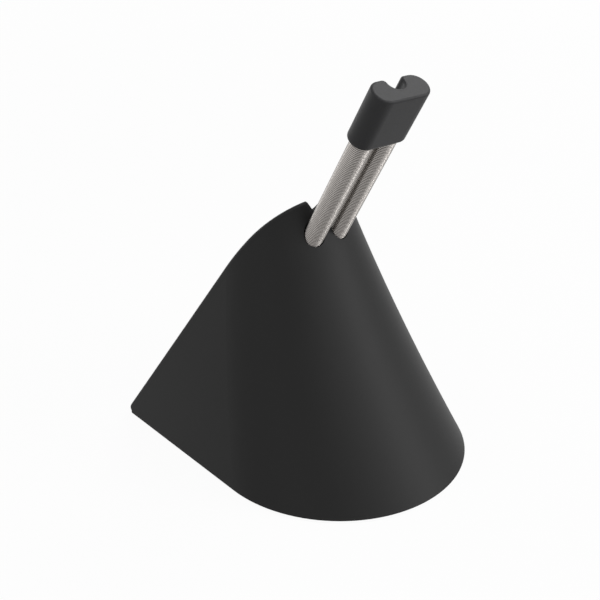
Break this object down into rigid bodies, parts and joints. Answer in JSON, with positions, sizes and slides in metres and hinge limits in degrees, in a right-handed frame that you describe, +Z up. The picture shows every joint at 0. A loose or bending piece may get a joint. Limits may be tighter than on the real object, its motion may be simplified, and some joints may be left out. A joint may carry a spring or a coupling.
{
  "type": "mouse bungee",
  "caption": "Free-standing weighted mouse cable holder: tapering housing, sprung forward-leaning arm and a grooved rubber cap that grips the cable.",
  "frame": {"origin": "middle of the footprint, on the surface that the feet stand on", "axes": "+Z up, -Y towards the mouse (the way the arm leans), X across the width"},
  "size_m": [0.0672, 0.076, 0.094],
  "materials": {
    "shell_abs": "fine matte moulded texture",
    "plate_abs": "plain moulded",
    "cast_weight": "as cast, lightly ground",
    "nylon": "moulded glass-filled nylon",
    "cap_rubber": "moulded matte rubber",
    "foot_rubber": "die-cut non-slip rubber",
    "spring_wire": "bright drawn wire, close wound",
    "pin_steel": "ground",
    "screw_steel": "zinc plated"
  },
  "bodies": {
    "base": {"body_shell": "shell_abs", "base_plate": "plate_abs", "ballast_weight": "cast_weight", "spring_holder": "nylon", "holder_clamp": "nylon", "front_left_foot": "foot_rubber", "front_right_foot": "foot_rubber", "rear_left_foot": "foot_rubber", "rear_right_foot": "foot_rubber", "left_spring": "spring_wire", "right_spring": "spring_wire", "left_spring_pin": "pin_steel", "right_spring_pin": "pin_steel", "base_screws": "screw_steel", "ballast_screws": "screw_steel", "holder_screws": "screw_steel", "clamp_screws": "screw_steel"},
    "arm": {"cable_cap": "cap_rubber", "cap_core": "nylon"}
  },
  "joints": [
    {"name": "arm_flex", "type": "hinge", "parent": "base", "child": "arm", "pos_m": [0, -0.00975, 0.0685], "axis": [1, 0, 0], "range_deg": [-25, 30], "stiffness_Nm_per_rad": 0.04, "springref_deg": -0.2, "deforming": ["left_spring", "right_spring"]}
  ]
}
